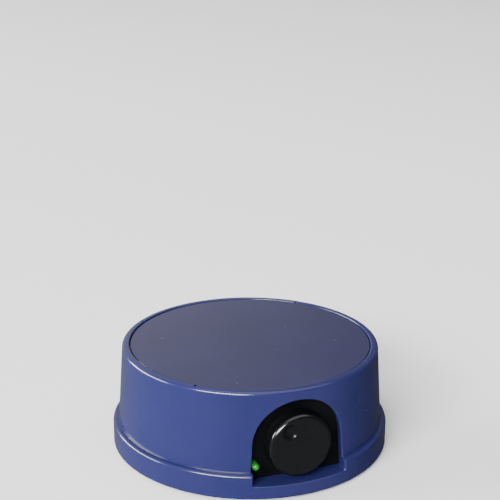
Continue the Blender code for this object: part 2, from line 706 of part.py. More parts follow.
def add_board(looks):
    board = add("circuit_board", block(BOARD_LOW, BOARD_HIGH), looks["board_green"])
    holes = [moved(cylinder(1.3 * MM, 5 * MM, 12 * MM, 12), (x, y, 0)) for x, y in BOARD_SCREWS]
    shaped(board, "DIFFERENCE", holes)
    seat = BOARD_HIGH.z + GAP
    cans = {"filter_capacitor": (-14, -26, 5, 13), "output_capacitor": (14, -25, 4, 9)}
    for name, (x, y, radius, tall) in cans.items():
        radius, tall = radius * MM, tall * MM
        profile = [
            (0, 0),
            (radius, 0),
            (radius, tall - 0.6 * MM),
            (radius - 0.6 * MM, tall),
            (0, tall),
        ]
        can = spun(profile, 20)
        add(name, can, looks["capacitor"], location=(x * MM, y * MM, seat))
    package = block(Vector((-5, -32.6, 0)) * MM, Vector((5, -28.2, 15)) * MM)
    add("voltage_regulator", package, looks["black_plastic"], location=(0, 0, seat))
    chip = block(Vector((-4.8, -43, 0.4)) * MM, Vector((4.8, -36.6, 3.9)) * MM)
    add("control_chip", chip, looks["black_plastic"], location=(0, 0, seat))

    # A comb of four fins standing behind the regulator
    back, plate, fin, pitch = -27.9 * MM, 1.6 * MM, 1.2 * MM, 4.4 * MM
    outline = [(-8 * MM, back), (8 * MM, back)]
    for k in range(4):
        right = 8 * MM - k * pitch
        outline += [(right, back + 6 * MM), (right - fin, back + 6 * MM)]
        if k < 3:
            outline += [(right - fin, back + plate), (right - pitch, back + plate)]
    outline[-1] = (-8 * MM, back + 6 * MM)
    add("heat_sink", prism(outline, seat + 1 * MM, seat + 15 * MM), looks["aluminium"])


def add_jack(looks, rear):
    """The inlet, in the frame whose Z points out through the rear wall."""
    profile = [
        (0, -10 * MM),
        (JACK_RADIUS, -10 * MM),
        (JACK_RADIUS, 2.6 * MM),
        (JACK_BORE, 2.6 * MM),
        (JACK_BORE, -8 * MM),
        (1 * MM, -8 * MM),
        (1 * MM, -0.6 * MM),
        (0.6 * MM, 0),
        (0, 0),
    ]
    jack = add("power_jack", spun(profile, 24), looks["black_plastic"], rear)
    housing = block((-7 * MM, -5.8 * MM, -16 * MM), (7 * MM, 5.8 * MM, -9 * MM))
    collar = tube(JACK_RADIUS - 1 * MM, 7 * MM, -6 * MM, -3 * MM)
    shaped(jack, "UNION", [housing, collar])
    hexagon = arc(7.2 * MM, math.pi / 6, 2 * math.pi + math.pi / 6, 6)[:-1]
    nut = add("jack_nut", prism(hexagon, 3 * GAP, 2.4 * MM), looks["steel"], rear)
    shaped(nut, "DIFFERENCE", [cylinder(JACK_RADIUS + GAP, -1 * MM, 4 * MM, 24)])


def add_leads(looks):
    """Internal wiring, as route points in millimetres."""
    for k, (side, look) in enumerate(((-1, "lead_red"), (1, "lead_black"))):
        from_jack = [
            (side * 4, 48.8, 22.5),
            (side * 6, 44, 21),
            (side * 11, 34, 14),
            (side * 16, 20, 10.5),
            (side * 17.5, 0, 10),
            (side * 17.5, -14, 12),
            (side * 20, -22, 12.5),
            (side * 21, -24, 9.6),
        ]
        add_lead(f"jack_lead_{k + 1}", from_jack, 0.8 * MM, looks[look])
        from_motor = [
            (side * 3, -12.6, 7.4),
            (side * 3, -14.6, 8.2),
            (side * 3.4, -16.4, 11),
            (side * 6, -18.2, 12.4),
            (side * 7.5, -19.4, 9.6),
        ]
        add_lead(f"motor_lead_{k + 1}", from_motor, 0.7 * MM, looks[look])
    to_led = [
        (-20.35, -53.3, 15.6),
        (-20.5, -50.5, 15.3),
        (-21.2, -47.2, 13.4),
        (-22, -44.4, 11.4),
        (-22.2, -43.2, 9.7),
    ]
    add_lead("led_lead", to_led, 0.6 * MM, looks["lead_black"])

    # A flat ribbon from the potentiometer's tags down to the board, bent as a strip
    thick, half = 1 * MM, 6 * MM
    path = [(-46.6, 14), (-46.5, 12.4), (-45.9, 10.8), (-44.8, 9.6), (-43.6, 9.5)]
    path = [Vector(p) * MM for p in path]
    left, right = [], []
    for k, spot in enumerate(path):
        along = (path[min(k + 1, len(path) - 1)] - path[max(k - 1, 0)]).normalized()
        across = Vector((-along.y, along.x)) * thick / 2
        left.append(spot + across)
        right.append(spot - across)
    outline = [tuple(p) for p in left + right[::-1]]
    strip = prism(outline, -half, half)
    turn = Matrix(((0, 0, 1, 0), (1, 0, 0, 0), (0, 1, 0, 0), (0, 0, 0, 1)))
    bmesh.ops.transform(strip, matrix=turn, verts=strip.verts)
    add("potentiometer_ribbon", strip, looks["ribbon_grey"])


def make_looks():
    table = {
        "blue_plastic": ((0.045, 0.06, 0.235), 0.28, 0),
        "plate_gloss": ((0.05, 0.055, 0.13), 0.08, 0),
        "base_plastic": ((0.02, 0.025, 0.09), 0.5, 0),
        "black_plastic": ((0.012, 0.012, 0.013), 0.4, 0),
        "knob_black": ((0.014, 0.014, 0.017), 0.35, 0),
        "led_green": ((0.01, 0.16, 0.01), 0.1, 0),
        "rubber": ((0.012, 0.012, 0.012), 0.85, 0),
        "steel": ((0.56, 0.56, 0.57), 0.3, 1),
        "nickel": ((0.66, 0.64, 0.6), 0.18, 1),
        "aluminium": ((0.75, 0.75, 0.77), 0.35, 1),
        "brass": ((0.7, 0.5, 0.22), 0.3, 1),
        "copper": ((0.72, 0.38, 0.22), 0.35, 1),
        "ferrite": ((0.05, 0.05, 0.055), 0.6, 0),
        "brown": ((0.12, 0.05, 0.02), 0.6, 0),
        "white_plastic": ((0.8, 0.8, 0.78), 0.4, 0),
        "board_green": ((0.01, 0.12, 0.04), 0.35, 0),
        "capacitor": ((0.02, 0.03, 0.08), 0.3, 0),
        "lead_red": ((0.5, 0.01, 0.01), 0.45, 0),
        "lead_black": ((0.012, 0.012, 0.012), 0.45, 0),
        "ribbon_grey": ((0.3, 0.3, 0.32), 0.5, 0),
    }
    return {name: material(name, *values) for name, values in table.items()}


def main():
    for old in list(bpy.data.objects):
        bpy.data.objects.remove(old)
    looks = make_looks()
    front = add_frame("panel_frame", (0, PANEL_Y, KNOB_Z), math.pi / 2)
    knob_axis = add_frame("knob_axis", (0, PANEL_Y, KNOB_Z), math.pi / 2)
    rotor_axis = add_frame("rotor_axis", (0, 0, 0), 0)
    rear = add_frame("inlet_frame", (0, wall_radius(JACK_Z), JACK_Z), -math.pi / 2)
    add_housing(looks)
    add_top_plate(looks)
    add_base(looks)
    add_panel(looks, front)
    add_potentiometer(looks, front, knob_axis)
    add_knob(looks, knob_axis)
    add_motor(looks)
    add_bracket(looks)
    add_rotor(looks, rotor_axis)
    add_board(looks)
    add_jack(looks, rear)
    add_leads(looks)


main()
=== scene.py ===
"""Looks of the magnetic stirrer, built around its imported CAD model.

Metres, +Z up, with the knob towards -Y.
"""

import json
import math

import bmesh
import bpy
from mathutils import Matrix, Vector


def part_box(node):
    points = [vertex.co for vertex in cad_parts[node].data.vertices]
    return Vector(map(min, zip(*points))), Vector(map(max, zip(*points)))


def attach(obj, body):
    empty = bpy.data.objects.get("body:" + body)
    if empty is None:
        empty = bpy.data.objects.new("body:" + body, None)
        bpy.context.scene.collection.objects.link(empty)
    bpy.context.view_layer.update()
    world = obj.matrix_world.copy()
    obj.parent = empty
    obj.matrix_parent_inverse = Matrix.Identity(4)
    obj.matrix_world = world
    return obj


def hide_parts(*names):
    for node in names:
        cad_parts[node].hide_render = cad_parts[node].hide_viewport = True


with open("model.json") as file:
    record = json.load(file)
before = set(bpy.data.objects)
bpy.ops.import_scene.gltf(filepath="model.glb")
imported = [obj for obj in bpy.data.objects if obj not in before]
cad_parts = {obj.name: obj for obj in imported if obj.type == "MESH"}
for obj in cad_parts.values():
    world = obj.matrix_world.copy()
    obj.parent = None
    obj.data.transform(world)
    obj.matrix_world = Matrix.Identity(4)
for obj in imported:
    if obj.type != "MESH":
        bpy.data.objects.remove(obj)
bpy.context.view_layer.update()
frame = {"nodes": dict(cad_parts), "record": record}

MM = 0.001
ROUND_STEPS = 256  # faces around the large turned pieces
FOOT_COUNT = 4

# Sizes read from the frame
shell_low, shell_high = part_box("housing_shell")
plate_low, plate_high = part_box("top_plate")
base_low, base_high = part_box("base_plate")
panel_low, panel_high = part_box("control_panel")
knob_low, knob_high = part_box("speed_knob")
led_low, led_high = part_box("led")
jack_low, jack_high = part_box("power_jack")
nut_low, nut_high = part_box("jack_nut")

SKIRT = shell_high.x
RIM_TOP = shell_high.z
WALL = 2.2 * MM
LEDGE = shell_low.z + 12 * MM  # top of the stepped skirt
WALL_FOOT = SKIRT - 2.8 * MM
SHOULDER = SKIRT - 5.2 * MM
SHOULDER_Z = RIM_TOP - 1.2 * MM
SKIRT_ROUND = 1.4 * MM
CEILING = RIM_TOP - 4.2 * MM
PLATE = plate_high.x
PLATE_SEAT = PLATE + 0.4 * MM

KNOB_Z = (knob_low.z + knob_high.z) / 2
KNOB_RADIUS = (knob_high.x - knob_low.x) / 2
PANEL_Y = knob_high.y + 1.2 * MM  # the panel's face
PANEL_THICK = 2 * MM
GAP = 0.3 * MM
ARCH_RADIUS = panel_high.z - KNOB_Z - 0.9 * MM
ARCH_FOOT = panel_high.x - 0.9 * MM
FLOOR = panel_low.z - GAP
LIP = 1.2 * MM  # rounding of the opening's outer edge
JAMB_WALL = 1.6 * MM
LED_X, LED_Z = (led_low.x + led_high.x) / 2, (led_low.z + led_high.z) / 2
JACK_Z = (nut_low.z + nut_high.z) / 2
DIAGONALS = [math.radians(45 + 90 * k) for k in range(4)]
POST_CIRCLE = 57 * MM  # the cover's screws, their bosses and the housing's posts
BOSS_TOP = base_low.z + 3.9 * MM  # where the bosses end, under the posts
FOOT_CIRCLE = 52 * MM
BOARD_SCREW_X, BOARD_SCREW_Y = 24 * MM, -31 * MM
BRACKET_SCREW_X = 29 * MM
PANEL_SCREW_X, PANEL_SCREW_Y = 17 * MM, -52.4 * MM
SIDES = (-1, 1)
TO_REAR = -math.pi / 2  # the turn about X that takes +Z to +Y, the way the inlet faces


# Camera and light

LENS = 86.9  # millimetres
SENSOR_WIDTH = 36
CAMERA_PLACE = (-0.2014, -0.5193, 0.2765)
CAMERA_HEADING, CAMERA_PITCH, CAMERA_ROLL = (math.radians(a) for a in (-21.16, 72.29, 0.4))

LIGHT_DISTANCE = 5
LIGHT_AIM = Vector((0, 0, 0.03))
LIGHTS = (  # name, azimuth and elevation in degrees, size in metres, power in watts
    ("front_left", -45, 27, (3.6, 1.4), 800),
    ("back_left", -122, 15, (4.6, 1.4), 600),
    ("overhead", 30, 78, (6, 6), 200),
)

FLOOR_RADIUS = 7
FLOOR_DROP = 0.02 * MM  # clear of the feet's soles
FLOOR_COLOUR = (0.8, 0.8, 0.805)
FLOOR_ROUGHNESS = 0.9


def add_camera():
    data = bpy.data.cameras.new("camera")
    data.lens = LENS
    data.sensor_width = SENSOR_WIDTH
    data.clip_start = 0.01
    camera = bpy.data.objects.new("camera", data)
    bpy.context.scene.collection.objects.link(camera)
    turn = Matrix.Rotation(CAMERA_HEADING, 4, "Z") @ Matrix.Rotation(CAMERA_PITCH, 4, "X")
    turn = turn @ Matrix.Rotation(CAMERA_ROLL, 4, "Z")
    camera.matrix_world = Matrix.Translation(CAMERA_PLACE) @ turn
    bpy.context.scene.camera = camera


def add_area_light(name, azimuth, elevation, size, power):
    """An area light that faces the object.

    Azimuth 0 is in front of the knob, and positive is to the right.
    """
    data = bpy.data.lights.new(name, "AREA")
    data.shape = "RECTANGLE"
    data.size, data.size_y = size
    data.energy = power
    light = bpy.data.objects.new(name, data)
    bpy.context.scene.collection.objects.link(light)
    a, e = math.radians(azimuth), math.radians(elevation)
    away = Vector((math.sin(a) * math.cos(e), -math.cos(a) * math.cos(e), math.sin(e)))
    light.location = away * LIGHT_DISTANCE + LIGHT_AIM
    light.rotation_mode = "QUATERNION"
    light.rotation_quaternion = away.to_track_quat("Z", "Y")


def map_range(tree, value, from_low, from_high, low, high):
    """A node that carries from_low and from_high to low and high."""
    node = tree.nodes.new("ShaderNodeMapRange")
    names = ("From Min", "From Max", "To Min", "To Max")
    for name, number in zip(names, (from_low, from_high, low, high)):
        node.inputs[name].default_value = number
    tree.links.new(value, node.inputs["Value"])
    return node


def mix_colours(tree, factor, first, second):
    """A colour between two colours, each a tuple or a node's output."""
    node = tree.nodes.new("ShaderNodeMix")
    node.data_type = "RGBA"
    colour_a, colour_b, result = node.inputs[6], node.inputs[7], node.outputs[2]
    tree.links.new(factor, node.inputs["Factor"])
    for socket, colour in ((colour_a, first), (colour_b, second)):
        if isinstance(colour, tuple):
            socket.default_value = (*colour, 1)
        else:
            tree.links.new(colour, socket)
    return result


def light_room():
    """A dim room: a pale table in front, a paler wall at the left and a far wall."""
    world = bpy.data.worlds.new("studio")
    bpy.context.scene.world = world
    world.use_nodes = True
    tree = world.node_tree
    direction = tree.nodes.new("ShaderNodeTexCoord").outputs["Generated"]

    def towards(goal, start, end, low, high):
        """A grey that goes from low to high as the direction turns to the goal."""
        facing = tree.nodes.new("ShaderNodeVectorMath")
        facing.operation = "DOT_PRODUCT"
        facing.inputs[1].default_value = goal
        tree.links.new(direction, facing.inputs[0])
        grey = map_range(tree, facing.outputs["Value"], start, end, low, high)
        grey.interpolation_type = "SMOOTHSTEP"
        return grey.outputs["Result"]

    left, front_below, far_above = (-0.93, 0.36, 0), (0.3, -0.8, -0.5), (0.3, 0.78, 0.55)
    table_grey = (0.26, 0.26, 0.26)
    left_wall = towards(left, -0.3, 1, 0.07, 0.42)
    far_wall = towards(left, -0.2, 0.2, 0.2, 0.7)  # it shows in the work plate
    room = mix_colours(tree, towards(front_below, 0.6, 0.95, 0, 1), left_wall, table_grey)
    room = mix_colours(tree, towards(far_above, 0.55, 0.85, 0, 1), room, far_wall)
    tree.links.new(room, tree.nodes["Background"].inputs["Color"])


def add_floor():
    shape = bmesh.new()
    bmesh.ops.create_circle(shape, cap_ends=True, segments=96, radius=FLOOR_RADIUS)
    floor = as_object("floor", shape)
    floor.location.z = -FLOOR_DROP
    look = bpy.data.materials.new("floor_paper")
    look.use_nodes = True
    shader = look.node_tree.nodes["Principled BSDF"]
    shader.inputs["Base Color"].default_value = (*FLOOR_COLOUR, 1)
    shader.inputs["Roughness"].default_value = FLOOR_ROUGHNESS
    floor.data.materials.append(look)
    floor.visible_glossy = False  # it would wash out the gloss of the walls


# Materials


class Look:
    """A procedural material, with short calls for the nodes used here."""

    def __init__(self, name, colour, roughness, metallic=0.0):
        self.material = bpy.data.materials.new(name)
        self.material.use_nodes = True
        self.tree = self.material.node_tree
        self.shader = self.tree.nodes["Principled BSDF"]
        self.set("Base Color", (*colour, 1))
        self.set("Roughness", roughness)
        self.set("Metallic", metallic)
        self.place = self.tree.nodes.new("ShaderNodeTexCoord").outputs["Object"]

    def set(self, socket, value):
        self.shader.inputs[socket].default_value = value

    def link(self, output, socket):
        self.tree.links.new(output, self.shader.inputs[socket])

    def stretched(self, scale, turn=0.0):
        """Coordinates that draw a noise out into lines."""
        mapping = self.tree.nodes.new("ShaderNodeMapping")
        mapping.inputs["Scale"].default_value = scale
        mapping.inputs["Rotation"].default_value = (0, 0, turn)
        self.tree.links.new(self.place, mapping.inputs["Vector"])
        return mapping.outputs["Vector"]

    def noise(self, size, detail=2.0, vector=None):
        """Noise whose blobs are about this size, in metres."""
        node = self.tree.nodes.new("ShaderNodeTexNoise")
        node.inputs["Scale"].default_value = 1 / size
        node.inputs["Detail"].default_value = detail
        self.tree.links.new(vector or self.place, node.inputs["Vector"])
        return node.outputs["Fac"]

    def ranged(self, value, low, high, from_low=0.3, from_high=0.7):
        """The value, carried from its own range, here that of a noise, to low and high."""
        return map_range(self.tree, value, from_low, from_high, low, high).outputs["Result"]

    def times(self, first, second):
        return self.add(first, second, "MULTIPLY")

    def add(self, first, second, operation="ADD"):
        node = self.tree.nodes.new("ShaderNodeMath")
        node.operation = operation
        self.tree.links.new(first, node.inputs[0])
        self.tree.links.new(second, node.inputs[1])
        return node.outputs["Value"]

    def mixed(self, factor, first, second):
        return mix_colours(self.tree, factor, first, second)

    def specks(self, size, share):
        """Small round specks, one in each of a share of cells of this size."""
        cells = self.tree.nodes.new("ShaderNodeTexVoronoi")
        cells.inputs["Scale"].default_value = 1 / size
        self.tree.links.new(self.place, cells.inputs["Vector"])
        near = self.ranged(cells.outputs["Distance"], 1, 0, 0.04, 0.12)
        split = self.tree.nodes.new("ShaderNodeSeparateColor")
        self.tree.links.new(cells.outputs["Color"], split.inputs["Color"])
        chosen = self.ranged(split.outputs["Red"], 0, 1, 1 - share, 1 - share + 0.01)
        return self.times(near, chosen)

    def bump(self, height, depth):
        node = self.tree.nodes.new("ShaderNodeBump")
        node.inputs["Strength"].default_value = 1
        node.inputs["Distance"].default_value = depth
        self.tree.links.new(height, node.inputs["Height"])
        self.link(node.outputs["Normal"], "Normal")


def shade(colour, factor):
    return tuple(channel * factor for channel in colour)


def blue_plastic():
    """Glossy moulded plastic: faint orange peel, slow drift, rubbed edges and a little dust."""
    blue = (0.0115, 0.0135, 0.062)
    look = Look("blue_plastic", blue, 0.2)
    look.set("Specular IOR Level", 0.5)
    drift = look.ranged(look.noise(28 * MM, 3), 0, 1)
    body = look.mixed(drift, shade(blue, 0.92), (0.0135, 0.014, 0.067))
    grain = look.ranged(look.noise(0.9 * MM, 4), 0, 1)
    body = look.mixed(grain, body, shade(blue, 1.12))
    edges = look.tree.nodes.new("ShaderNodeNewGeometry").outputs["Pointiness"]
    rubbed = look.times(look.ranged(edges, 0, 0.3, 0.53, 0.6), look.noise(4 * MM, 3))
    body = look.mixed(rubbed, body, (0.04, 0.05, 0.15))
    look.link(look.mixed(look.specks(5 * MM, 0.03), body, (0.1, 0.12, 0.22)), "Base Color")
    look.link(look.ranged(look.noise(9 * MM, 5), 0.14, 0.22), "Roughness")
    look.bump(look.noise(2.6 * MM, 2), 0.01 * MM)
    return look.material


def plate_gloss():
    """Polished disc: nearly a mirror at a low angle, with hairline scratches and dust."""
    blue = (0.014, 0.0135, 0.048)
    look = Look("plate_gloss", blue, 0.05)
    drift = look.ranged(look.noise(35 * MM, 3), 0, 1)
    body = look.mixed(drift, shade(blue, 0.92), shade(blue, 1.1))
    dusty = look.mixed(look.specks(4 * MM, 0.05), body, (0.12, 0.13, 0.2))
    look.link(dusty, "Base Color")
    first = look.noise(1 * MM, 3, look.stretched((1, 0.02, 1), 0.7))
    second = look.noise(1 * MM, 3, look.stretched((0.02, 1, 1), 0.3))
    hairlines = look.add(
        look.ranged(first, 0, 0.06, 0.62, 0.72), look.ranged(second, 0, 0.06, 0.62, 0.72)
    )
    smear = look.ranged(look.noise(16 * MM, 4), 0.045, 0.1)
    look.link(look.add(smear, hairlines), "Roughness")
    look.bump(look.noise(22 * MM, 1), 0.01 * MM)
    look.set("IOR", 1.52)
    return look.material


def black_plastic():
    colour, roughness = (0.0014, 0.0017, 0.002), 0.45
    look = Look("black_plastic", colour, roughness)
    look.set("Specular IOR Level", 0.16)
    grain = look.noise(0.35 * MM, 3)
    look.link(look.mixed(grain, shade(colour, 0.8), shade(colour, 1.25)), "Base Color")
    look.link(look.ranged(look.noise(5 * MM, 4), roughness - 0.05, roughness + 0.07), "Roughness")
    look.bump(grain, 0.006 * MM)
    return look.material


def knob_black():
    """Fine-textured black plastic, polished a little where fingers turn it."""
    black = (0.0022, 0.0024, 0.003)
    look = Look("knob_black", black, 0.26)
    look.set("Specular IOR Level", 0.5)
    grain = look.noise(0.3 * MM, 3)
    body = look.mixed(grain, shade(black, 0.82), shade(black, 1.2))
    look.link(look.mixed(look.specks(3 * MM, 0.03), body, (0.03, 0.03, 0.035)), "Base Color")
    look.link(look.ranged(look.noise(6 * MM, 2), 0.15, 0.22), "Roughness")
    look.bump(grain, 0.0015 * MM)
    return look.material


def led_green():
    """Clear green resin that glows near the tip of the lamp."""
    green = (0.01, 0.14, 0.008)
    look = Look("led_green", green, 0.08)
    look.set("IOR", 1.54)
    look.set("Transmission Weight", 0.35)
    inset = 0.3 * MM
    away = look.tree.nodes.new("ShaderNodeVectorMath")
    away.operation = "DISTANCE"
    away.inputs[1].default_value = (LED_X - inset, led_low.y + inset, LED_Z + inset)
    look.tree.links.new(look.place, away.inputs[0])
    glow = look.ranged(away.outputs["Value"], 1, 0, 0.2 * MM, 1 * MM)
    look.link(look.mixed(glow, (0.002, 0.022, 0.001), (0.06, 0.24, 0.04)), "Emission Color")
    look.set("Emission Strength", 1.0)
    look.link(look.mixed(look.noise(1 * MM), shade(green, 0.8), shade(green, 1.2)), "Base Color")
    return look.material


def rubber():
    black = (0.012, 0.012, 0.013)
    look = Look("rubber", black, 0.8)
    grain = look.noise(0.5 * MM, 4)
    look.link(look.mixed(grain, shade(black, 0.7), shade(black, 1.5)), "Base Color")
    look.link(look.ranged(look.noise(3 * MM, 3), 0.7, 0.92), "Roughness")
    look.bump(grain, 0.03 * MM)
    return look.material


def moulded(name, colour, roughness):
    """A satin moulded or coated surface."""
    look = Look(name, colour, roughness)
    grain = look.noise(0.7 * MM, 4)
    look.link(look.mixed(grain, shade(colour, 0.88), shade(colour, 1.12)), "Base Color")
    look.link(look.ranged(look.noise(6 * MM, 3), roughness - 0.06, roughness + 0.08), "Roughness")
    look.bump(grain, 0.015 * MM)
    return look.material


def metal(name, colour, roughness, grain_along=(1, 1, 0.08)):
    look = Look(name, colour, roughness, 1.0)
    lines = look.noise(0.5 * MM, 4, look.stretched(grain_along))
    look.link(look.mixed(lines, shade(colour, 0.86), shade(colour, 1.08)), "Base Color")
    look.link(look.ranged(lines, roughness - 0.08, roughness + 0.1), "Roughness")
    look.bump(lines, 0.006 * MM)
    return look.material


def make_looks():
    return {
        "blue_plastic": blue_plastic(),
        "plate_gloss": plate_gloss(),
        "black_plastic": black_plastic(),
        "knob_black": knob_black(),
        "led_green": led_green(),
        "rubber": rubber(),
        "base_plastic": moulded("base_plastic", (0.022, 0.032, 0.13), 0.48),
        "steel": metal("steel", (0.56, 0.56, 0.58), 0.3),
        "nickel": metal("nickel", (0.66, 0.64, 0.6), 0.2),
        "aluminium": metal("aluminium", (0.75, 0.75, 0.77), 0.36),
        "brass": metal("brass", (0.7, 0.5, 0.22), 0.3),
        "copper": metal("copper", (0.72, 0.38, 0.22), 0.35, (0.08, 1, 1)),
        "ferrite": moulded("ferrite", (0.05, 0.05, 0.055), 0.6),
        "brown": moulded("brown", (0.12, 0.05, 0.02), 0.6),
        "white_plastic": moulded("white_plastic", (0.78, 0.78, 0.75), 0.42),
        "board_green": moulded("board_green", (0.01, 0.12, 0.04), 0.35),
        "capacitor": moulded("capacitor", (0.02, 0.03, 0.08), 0.3),
        "lead_red": moulded("lead_red", (0.5, 0.01, 0.01), 0.45),
        "lead_black": moulded("lead_black", (0.012, 0.012, 0.012), 0.45),
        "ribbon_grey": moulded("ribbon_grey", (0.3, 0.3, 0.32), 0.5),
    }


# Shapes: each of these returns points or a bmesh

WELD = 1e-7  # points nearer than this are one point


def rounded(corners, steps=7):
    """(x, y) points of an outline from its (x, y, fillet) corners. A fillet of 0 stays sharp."""
    points = []
    for k, (x, y, fillet) in enumerate(corners):
        here = Vector((x, y))
        if not fillet:
            points.append((x, y))
            continue
        before = (Vector(corners[k - 1][:2]) - here).normalized()
        after = (Vector(corners[(k + 1) % len(corners)][:2]) - here).normalized()
        half = before.angle(after) / 2
        middle = here + (before + after).normalized() * fillet / math.sin(half)
        start = here + before * fillet / math.tan(half) - middle
        end = here + after * fillet / math.tan(half) - middle
        first = math.atan2(start.y, start.x)
        turn = (math.atan2(end.y, end.x) - first + math.pi) % (2 * math.pi) - math.pi
        for step in range(steps + 1):
            angle = first + turn * step / steps
            points.append(
                (middle.x + fillet * math.cos(angle), middle.y + fillet * math.sin(angle))
            )
    return points


def spaced(points, longest, closed=False):
    """The same line with points added, so that no stretch is longer than this."""
    ends = points[1:] + points[:1] if closed else points[1:]
    line = []
    for (x, y), (to_x, to_y) in zip(points, ends):
        parts = max(1, math.ceil(math.hypot(to_x - x, to_y - y) / longest))
        for k in range(parts):
            line.append((x + (to_x - x) * k / parts, y + (to_y - y) * k / parts))
    return line if closed else line + [points[-1]]


def arc(radius, start, end, steps, centre=(0, 0)):
    turns = [start + (end - start) * k / steps for k in range(steps + 1)]
    return [(centre[0] + radius * math.cos(t), centre[1] + radius * math.sin(t)) for t in turns]


def spun(profile, steps, closed=False):
    """Turns (radius, height) points about Z. An open profile starts and ends on the axis."""
    shape = bmesh.new()
    rings = []
    for radius, height in profile:
        if radius < WELD:
            rings.append([shape.verts.new((0, 0, height))])
            continue
        turns = [2 * math.pi * k / steps for k in range(steps)]
        rings.append(
            [shape.verts.new((radius * math.cos(t), radius * math.sin(t), height)) for t in turns]
        )
    following = rings[1:] + rings[:1] if closed else rings[1:]
    for ring, other in zip(rings, following):
        for k in range(steps):
            corners = [ring[k % len(ring)], ring[(k + 1) % len(ring)]]
            corners += [other[(k + 1) % len(other)], other[k % len(other)]]
            corners = list(dict.fromkeys(corners))
            if len(corners) > 2:
                shape.faces.new(corners)
    bmesh.ops.recalc_face_normals(shape, faces=shape.faces)
    return shape


def loft(rings):
    """Joins rings of points, each as long as the next, and closes both ends."""
    shape = bmesh.new()
    made = [[shape.verts.new(point) for point in ring] for ring in rings]
    for ring, other in zip(made, made[1:]):
        for k in range(len(ring)):
            following = (k + 1) % len(ring)
            shape.faces.new((ring[k], ring[following], other[following], other[k]))
    shape.faces.new(made[0])
    shape.faces.new(made[-1])
    bmesh.ops.recalc_face_normals(shape, faces=shape.faces)
    return shape


def prism(outline, low, high):
    return loft([[(x, y, z) for x, y in outline] for z in (low, high)])


def cylinder(radius, low, high, steps=48):
    """A round prism with no corner on the X or Y axis, where turned pieces have their edges."""
    first = math.pi / steps
    return prism(arc(radius, first, first + 2 * math.pi, steps)[:-1], low, high)


def block(low, high):
    (x, y, z), (to_x, to_y, to_z) = low, high
    return prism([(x, y), (to_x, y), (to_x, to_y), (x, to_y)], z, to_z)


def moved(shape, offset=(0, 0, 0), turn=0.0, axis="Z"):
    matrix = Matrix.Translation(offset) @ Matrix.Rotation(turn, 4, axis)
    bmesh.ops.transform(shape, matrix=matrix, verts=shape.verts)
    return shape


def to_front(shape, x=0.0, y=PANEL_Y, z=KNOB_Z):
    """Turns a shape's Z towards the user and puts it in the panel's frame."""
    return moved(shape, (x, y, z), math.pi / 2, "X")


def around(angle, radius):
    return Vector((radius * math.cos(angle), radius * math.sin(angle), 0))


# Objects


def as_object(name, shape):
    mesh = bpy.data.meshes.new(name)
    shape.to_mesh(mesh)
    shape.free()
    piece = bpy.data.objects.new(name, mesh)
    bpy.context.scene.collection.objects.link(piece)
    return piece


def together(shapes):
    whole = bmesh.new()
    for shape in shapes:
        mesh = bpy.data.meshes.new("loose_shape")
        shape.to_mesh(mesh)
        shape.free()
        whole.from_mesh(mesh)
        bpy.data.meshes.remove(mesh)
    return whole


def boolean(piece, operation, shapes):
    """Cuts, joins or trims the piece's mesh with shapes that don't touch each other."""
    helper = as_object("helper", together(shapes))
    change = piece.modifiers.new("change", "BOOLEAN")
    change.operation = operation
    change.solver = "EXACT"
    change.object = helper
    graph = bpy.context.evaluated_depsgraph_get()
    changed = bpy.data.meshes.new_from_object(piece.evaluated_get(graph))
    seams = bmesh.new()
    seams.from_mesh(changed)
    bmesh.ops.remove_doubles(seams, verts=seams.verts, dist=WELD)
    seams.to_mesh(changed)
    seams.free()
    piece.modifiers.clear()
    old = piece.data
    piece.data = changed
    changed.name = piece.name
    bpy.data.meshes.remove(old)
    bpy.data.objects.remove(helper)


def finish_piece(piece, look, body, nodes=(), sharp=32):
    """Smooth shading that keeps flat faces flat, the material, and the piece's body."""
    piece.data.shade_smooth()
    piece.data.set_sharp_from_angle(angle=math.radians(sharp))
    weigh = piece.modifiers.new("weighted_normals", "WEIGHTED_NORMAL")
    weigh.keep_sharp = True
    piece.data.materials.clear()
    piece.data.materials.append(look)
    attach(piece, body)
    if nodes:
        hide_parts(*nodes)


# Housing


def outer_radius(z):
    """The housing's outer radius at a height, from the skirt to the shoulder."""
    edge = LEDGE - SKIRT_ROUND
    if z < edge:
        return SKIRT
    if z < LEDGE:
        return SKIRT - SKIRT_ROUND + math.sqrt(SKIRT_ROUND**2 - (z - edge) ** 2)
    return WALL_FOOT + (SHOULDER - WALL_FOOT) * (z - LEDGE) / (SHOULDER_Z - LEDGE)


def half_opening(z):
    """Half the opening's width at a height below the knob's axis."""
    return ARCH_RADIUS + (ARCH_FOOT - ARCH_RADIUS) * (KNOB_Z - z) / (KNOB_Z - FLOOR)


def arch_outline(grow=0.0, foot=FLOOR):
    """(x, z) points round the knob opening, with its floor at a height."""
    half, radius, corner = half_opening(foot) + grow, ARCH_RADIUS + grow, 0.5 * MM
    lower = [(-half, foot, corner), (half, foot, corner), (radius, KNOB_Z, 0), (-radius, KNOB_Z, 0)]
    return rounded(lower, 4)[:-2] + arc(radius, 0, math.pi, 64, (0, KNOB_Z))


LIP_STEPS = 8
LIP_START = math.radians(10)


